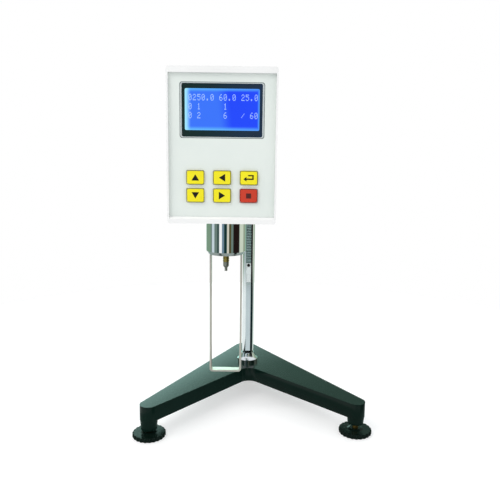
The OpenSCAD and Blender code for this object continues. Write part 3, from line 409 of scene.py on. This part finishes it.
def ring(low, high, corner, wide):
    # a closed line of this width round the outside of a box, cut into four-sided pieces
    cornerSteps = 5

    def edge(grown):
        points = []
        corners = ((high[0], high[1]), (low[0], high[1]), (low[0], low[1]), (high[0], low[1]))
        for side, (x, z) in enumerate(corners):
            midX = x + (-1 if x == high[0] else 1) * corner
            midZ = z + (-1 if z == high[1] else 1) * corner
            for step in range(cornerSteps):
                angle = math.radians(90 * side + 90 / (cornerSteps - 1) * step)
                reach = corner + grown
                points.append((midX + reach * math.cos(angle), midZ + reach * math.sin(angle)))
        return points
    inner, outer = edge(0), edge(wide)
    count = len(inner)
    return [[inner[i], outer[i], outer[(i + 1) % count], inner[(i + 1) % count]] for i in range(count)]


def scaled(points, size):
    return [(x * size, z * size) for x, z in points]


def turned(points, quarters):
    for _ in range(quarters):
        points = [(-z, x) for x, z in points]
    return points


# each key's sign, and a fine dark line round the edge of its face, painted shade of the gap round the key
sign = {"wide": 7.6 * mm, "tall": 6.2 * mm, "thick": 0.06 * mm, "sunk": 0.02 * mm}
keyGapShade = {"wide": 0.5 * mm, "inside": 0.22 * mm, "corner": 0.7 * mm, "thick": 0.05 * mm}
signInk = {"yellow": trimPlastic("keyInk", (16, 11, 6), (10, 7, 4)),
           "red": trimPlastic("stopKeyInk", (86, 22, 20), (74, 18, 18))}
# the dark olive and dark red lines are painted shade of the gap round each key
gapShadeFinish = {"yellow": trimPlastic("keyGapShadePaint", (116, 108, 34), (98, 92, 30)),
           "red": trimPlastic("stopKeyGapShadePaint", (120, 44, 40), (104, 36, 34))}
arrowUp = [(-sign["wide"] / 2, -sign["tall"] / 2), (sign["wide"] / 2, -sign["tall"] / 2),
           (0, sign["tall"] / 2)]
backArrow = [[(-4.6, -1.0), (-2.0, -3.0), (-2.0, -1.6), (4.2, -1.6), (4.2, -0.4), (-2.0, -0.4), (-2.0, 1.0)],
             [(3.0, -0.4), (4.2, -0.4), (4.2, 2.6), (3.0, 2.6)],
             [(-0.6, 1.5), (3.0, 1.5), (3.0, 2.6), (-0.6, 2.6)]]
square = [(-2.5, -2.5), (2.5, -2.5), (2.5, 2.5), (-2.5, 2.5)]
keySigns = {
    "up": [arrowUp], "left": [turned(arrowUp, 1)],
    "down": [turned(arrowUp, 2)], "right": [turned(arrowUp, 3)],
    "return": [scaled(part, 1.15 * mm) for part in backArrow], "stop": [scaled(square, mm)],
}
for key, shapes in keySigns.items():
    low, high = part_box("key_" + key)
    midX, midZ = (low.x + high.x) / 2, (low.z + high.z) / 2
    face = low.y + sign["sunk"]
    colour = "red" if key == "stop" else "yellow"
    placed = [[(midX + x, midZ + z) for x, z in part] for part in shapes]
    printed("sign_" + key, placed, face, sign["thick"], signInk[colour], key + "_key")
    inside = keyGapShade["inside"] + keyGapShade["wide"]
    gapShadeRing = ring((low.x + inside, low.z + inside), (high.x - inside, high.z - inside),
                  keyGapShade["corner"], keyGapShade["wide"])
    printed("gapShade_" + key, gapShadeRing, face, keyGapShade["thick"], gapShadeFinish[colour], key + "_key")

# a pale strip in the gap round the panel, painted light that lifts the shade there, and a fine dark line
# round the window, painted shade of its gap
paleGapStrip = {"wide": 0.5 * mm, "corner": 0.05 * mm, "from": 0.6 * mm, "behind": 0.15 * mm,
        "colour": (226, 231, 228), "shade": (216, 221, 218)}
windowGapShade = {"wide": 0.4 * mm, "corner": 2.2 * mm, "from": 0.01 * mm, "thick": 0.04 * mm,
              "colour": (84, 98, 94), "shade": (72, 86, 82)}
panelLow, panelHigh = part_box("front_panel")
windowLow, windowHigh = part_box("window_bezel")
# the pale strip is painted light over the shade in the panel's gap
printed("panelGapPaleStrip", ring((panelLow.x, panelLow.z), (panelHigh.x, panelHigh.z), paleGapStrip["corner"], paleGapStrip["wide"]),
        panelLow.y + paleGapStrip["from"], paleGapStrip["from"] - paleGapStrip["behind"],
        trimPlastic("panelGapPaleStrip", paleGapStrip["colour"], paleGapStrip["shade"], grain=900), "head")
# the dark line is painted shade of the gap round the window
printed("windowGapShade", ring((windowLow.x, windowLow.z), (windowHigh.x, windowHigh.z), windowGapShade["corner"],
                           windowGapShade["wide"]),
        panelLow.y + windowGapShade["from"], windowGapShade["thick"],
        trimPlastic("windowGapShadePaint", windowGapShade["colour"], windowGapShade["shade"], grain=900), "head")

# figures on the display, in letters of 5 by 7 dots
figures = {
    "0": "01110 10001 10011 10101 11001 10001 01110", "1": "00100 01100 00100 00100 00100 00100 01110",
    "2": "01110 10001 00001 00110 01000 10000 11111", "3": "01110 10001 00001 00110 00001 10001 01110",
    "4": "00010 00110 01010 10010 11111 00010 00010", "5": "11111 10000 11110 00001 00001 10001 01110",
    "6": "00110 01000 10000 11110 10001 10001 01110", "7": "11111 00001 00010 00100 01000 01000 01000",
    "8": "01110 10001 10001 01110 10001 10001 01110", "9": "01110 10001 10001 01111 00001 00010 01100",
    ".": "00000 00000 00000 00000 00000 01100 01100", "/": "00000 00001 00010 00100 01000 10000 00000",
}
readout = {
    "rows": ["0250.0 60.0 25.0", "0 1     1", "0 2     6   / 60"], "left": 3.6 * mm, "top": 5.4 * mm,
    "pitchX": 4.3 * mm, "pitchZ": 8.55 * mm, "dotWide": 0.62 * mm, "dotTall": 0.86 * mm,
    "inkWide": 0.8, "inkTall": 0.86, "from": 0.01 * mm, "thick": 0.04 * mm,
    "light": 0.9, "bright": (178, 200, 255), "dim": (162, 188, 255),
    "ground": (90, 120, 220), "groundShade": (80, 110, 210),
}


def drawFigures(b):
    cloud = b.noise(500, 2)
    return {"Base Color": b.mix(linear(*readout["ground"]), linear(*readout["groundShade"]), cloud),
            "Roughness": cloud * 0.1 + 0.3,
            "Emission Color": b.mix(linear(*readout["bright"]), linear(*readout["dim"]), cloud),
            "Emission Strength": readout["light"]}


def dotted(letter, left, top):
    dots = []
    wide, tall = readout["dotWide"] * readout["inkWide"], readout["dotTall"] * readout["inkTall"]
    for line, marks in enumerate(figures[letter].split()):
        for step, mark in enumerate(marks):
            if mark == "1":
                x = left + step * readout["dotWide"]
                z = top - line * readout["dotTall"]
                dots.append([(x, z), (x + wide, z), (x + wide, z - tall), (x, z - tall)])
    return dots


allDots = []
for rowIndex, row in enumerate(readout["rows"]):
    for column, letter in enumerate(row):
        if letter != " ":
            x = screenLeft + readout["left"] + column * readout["pitchX"]
            z = screenMidZ + display["height"] / 2 - readout["top"] - rowIndex * readout["pitchZ"]
            allDots += dotted(letter, x, z)
printed("displayFigures", allDots, glassLow.y + readout["from"], readout["thick"],
        newFinish("figuresLit", drawFigures), "head")

# the round level on the head: a dark circle on the glass, and the bubble in it
vial = {"circle": 2.9 * mm, "line": 0.3 * mm, "bubble": 2.3 * mm, "bubbleHole": 0.1 * mm,
        "aside": (0.25 * mm, 0.1 * mm), "sunk": 0.005 * mm, "thick": 0.03 * mm, "steps": 48}
vialDown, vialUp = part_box("level_glass")
vialX, vialY = (vialDown.x + vialUp.x) / 2, (vialDown.y + vialUp.y) / 2


def vialMark(name, midX, midY, inner, outer, thick, finish):
    # a flat ring that lies on the glass
    outlines = []
    for step in range(vial["steps"]):
        start, end = (2 * math.pi * (step + i) / vial["steps"] for i in (0, 1))
        corners = ((inner, start), (outer, start), (outer, end), (inner, end))
        outlines.append([(midX + r * math.cos(a), midY + r * math.sin(a), vialUp.z - vial["sunk"])
                         for r, a in corners])
    slab(name, outlines, (0, 0, thick), finish, "head")


vialMark("vialCircle", vialX, vialY, vial["circle"], vial["circle"] + vial["line"], vial["thick"],
         trimPlastic("vialInk", (20, 24, 10), (14, 18, 8), 0.5))
vialMark("vialBubble", vialX + vial["aside"][0], vialY + vial["aside"][1], vial["bubbleHole"], vial["bubble"],
         vial["thick"] * 0.6, trimPlastic("vialBubble", (236, 244, 178), (226, 236, 160), 0.12, 300))
print("signs, figures and level marks made")

# the camera stands in front of the post and a little to its right; down and roll are in degrees
view = {"beside": 2.25 * mm, "before": 660.6 * mm, "height": 282.5 * mm, "down": 9.5, "roll": 0.75,
        "lens": 40.32, "sensor": 36, "shift": -0.0015}
postLow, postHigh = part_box("post")
postX, postY = (postLow.x + postHigh.x) / 2, (postLow.y + postHigh.y) / 2
tilt, roll = math.radians(view["down"]), math.radians(view["roll"])
ahead = Vector((0, math.cos(tilt), -math.sin(tilt)))
right, up = Vector((1, 0, 0)), Vector((0, math.sin(tilt), math.cos(tilt)))
axisX = right * math.cos(roll) + up * math.sin(roll)
axisY = up * math.cos(roll) - right * math.sin(roll)
camera = bpy.data.objects.new("camera", bpy.data.cameras.new("camera"))
camera.data.lens = view["lens"]
camera.data.sensor_width = view["sensor"]
camera.data.shift_x = view["shift"]
camera.data.clip_start = 10 * mm
camera.matrix_world = Matrix((axisX, axisY, -ahead)).transposed().to_4x4()
camera.location = (postX + view["beside"], postY - view["before"], view["height"])
bpy.context.scene.collection.objects.link(camera)
bpy.context.scene.camera = camera

# the floor, which glows a little so that it is as white as the background
bench = {"radius": 0.62, "down": 0.3 * mm, "grey": 0.52, "paler": 0.53, "rough": 0.6, "glow": 0.52}
floorForm = bmesh.new()
bmesh.ops.create_circle(floorForm, cap_ends=True, segments=96, radius=bench["radius"])
floorMesh = bpy.data.meshes.new("benchTop")
floorForm.to_mesh(floorMesh)
floorForm.free()
floor = bpy.data.objects.new("benchTop", floorMesh)
bpy.context.scene.collection.objects.link(floor)
floor.location = (0.0, 0.0, -bench["down"])


def drawFloor(b):
    cloud = b.noise(3, 2)
    return {"Base Color": b.mix([bench["grey"]] * 3, [bench["paler"]] * 3, cloud),
            "Roughness": cloud * 0.1 + bench["rough"],
            "Emission Color": (1, 1, 1, 1), "Emission Strength": bench["glow"]}


floor.data.materials.append(newFinish("benchWhite", drawFloor))
floor.visible_glossy = False

# the room that polished metal shows: a stripe runs from one turn to another, with a soft edge, in a colour;
# turns are degrees from straight ahead of the display, to its right
room = {
    "wall": (110, 130, 122),
    "wallStripes": {
        "greenWall": (-150, -98, 5, (126, 154, 130)),
        "curtain": (-88, -70, 3, (206, 220, 226)),
        "windowFrame": (-50, -41, 2, (44, 70, 68)),
        "window": (-38, -22, 2, (255, 255, 255)),
        "cupboard": (-21, -10, 2, (112, 138, 156)),
        "cupboardSide": (-9, 5, 2, (20, 52, 52)),
        "doorEdge": (8, 18, 2, (222, 216, 200)),
        "olivePanel": (20, 31, 2, (82, 76, 40)),
        "doorway": (44, 84, 3, (34, 24, 22)),
        "paleWall": (87, 122, 3, (206, 216, 196)),
        "paleCorner": (122, 150, 4, (150, 166, 142)),
    },
    "floor": (206, 218, 210),
    "floorStripes": {
        "sunnyFloor": (-165, -24, 4, (244, 250, 248)),
        "table": (-24, 44, 4, (202, 214, 216)),
        "darkFloor": (46, 106, 5, (14, 32, 34)),
    },
    "ceiling": (246, 249, 249), "nearFloor": (136, 158, 152), "bench": (150, 160, 156),
    "wallBehind": (151, 199, 179), "behindFrom": (150, 158),
    "windowBehind": (200, 250, 240), "windowLight": 5.0,
}
# the window behind grows brighter to the left and downwards, and stays above the floor
windowEdge = {"middle": 32, "toLeft": 63, "toFloor": 93, "rise": (1.5, 5.4), "aboveFloor": (0.08, 0.25)}
# heights of a direction, from -1 straight down to 1 straight up, between which one part gives way to the next
heights = {"ceiling": (0.45, 0.7), "floor": (-0.25, -0.17), "nearFloor": (-0.44, -0.36),
           "bench": (-0.75, -0.5)}

world = bpy.data.worlds.new("studio")
bpy.context.scene.world = world
world.use_nodes = True
sky = Board(world.node_tree)
dirX, dirY, dirZ = sky.split(sky.add("ShaderNodeTexCoord", output="Generated"))
turn = sky.add("ShaderNodeMath", {"operation": "ARCTAN2"}, {0: dirX, 1: 0 - dirY}) * (180 / math.pi)


def striped(ground, stripes):
    shown = linear(*ground)
    for start, end, soft, colour in stripes.values():
        inside = turn.above(start - soft, start + soft) * (1 - turn.above(end - soft, end + soft))
        shown = sky.mix(shown, linear(*colour), inside)
    return shown


windowGlare = [v * room["windowLight"] for v in linear(*room["windowBehind"])]
brighter = windowEdge["middle"] - dirX * windowEdge["toLeft"] - dirZ * windowEdge["toFloor"]
brighter = brighter.above(*windowEdge["rise"]) * dirZ.above(*windowEdge["aboveFloor"])
behind = sky.mix(linear(*room["wallBehind"]), windowGlare, brighter)
shown = sky.mix(striped(room["wall"], room["wallStripes"]), behind, abs(turn).above(*room["behindFrom"]))
shown = sky.mix(shown, linear(*room["ceiling"]), dirZ.above(*heights["ceiling"]))
shown = sky.mix(shown, striped(room["floor"], room["floorStripes"]), 1 - dirZ.above(*heights["floor"]))
shown = sky.mix(shown, linear(*room["nearFloor"]), 1 - dirZ.above(*heights["nearFloor"]))
shown = sky.mix(shown, linear(*room["bench"]), 1 - dirZ.above(*heights["bench"]))

# the camera sees plain white, polished surfaces see the room, and the rest gets an even light
light = {"tint": (0.96, 0.98, 1.0, 1), "strength": 0.78}
isCamera = sky.add("ShaderNodeLightPath", output="Is Camera Ray")
isGlossy = sky.add("ShaderNodeLightPath", output="Is Glossy Ray")
ambient = sky.add("ShaderNodeBackground", None, {"Color": light["tint"], "Strength": light["strength"]})
mirrored = sky.add("ShaderNodeBackground", None, {"Color": shown, "Strength": 1.0})
plain = sky.add("ShaderNodeBackground", None, {"Color": (1, 1, 1, 1), "Strength": 1.0})
lit = sky.add("ShaderNodeMixShader", None, {0: isGlossy, 1: ambient, 2: mirrored})
seen = sky.add("ShaderNodeMixShader", None, {0: isCamera, 1: lit, 2: plain})
sky.add("ShaderNodeOutputWorld", None, {"Surface": seen})

lamps = {
    "keyLamp": {"at": (-0.75, -0.55, 1.05), "size": 0.7, "watts": 7.0, "tint": (1.0, 0.99, 0.97)},
    "backLamp": {"at": (-0.45, 0.95, 0.75), "size": 0.9, "watts": 3.5, "tint": (0.97, 1.0, 1.0)},
    "fillLamp": {"at": (0.85, -0.6, 0.5), "size": 0.8, "watts": 2.0, "tint": (1.0, 1.0, 1.0)},
}
lampTarget = Vector((0, 0, 0.15))
for name, lamp in lamps.items():
    data = bpy.data.lights.new(name, "AREA")
    data.size = lamp["size"]
    data.energy = lamp["watts"]
    data.color = lamp["tint"]
    thing = bpy.data.objects.new(name, data)
    bpy.context.scene.collection.objects.link(thing)
    thing.visible_glossy = False
    thing.location = lamp["at"]
    thing.rotation_euler = (lampTarget - Vector(lamp["at"])).to_track_quat("-Z", "Y").to_euler()

bpy.context.scene.view_settings.view_transform = "Standard"
print("camera, floor and lamps placed")
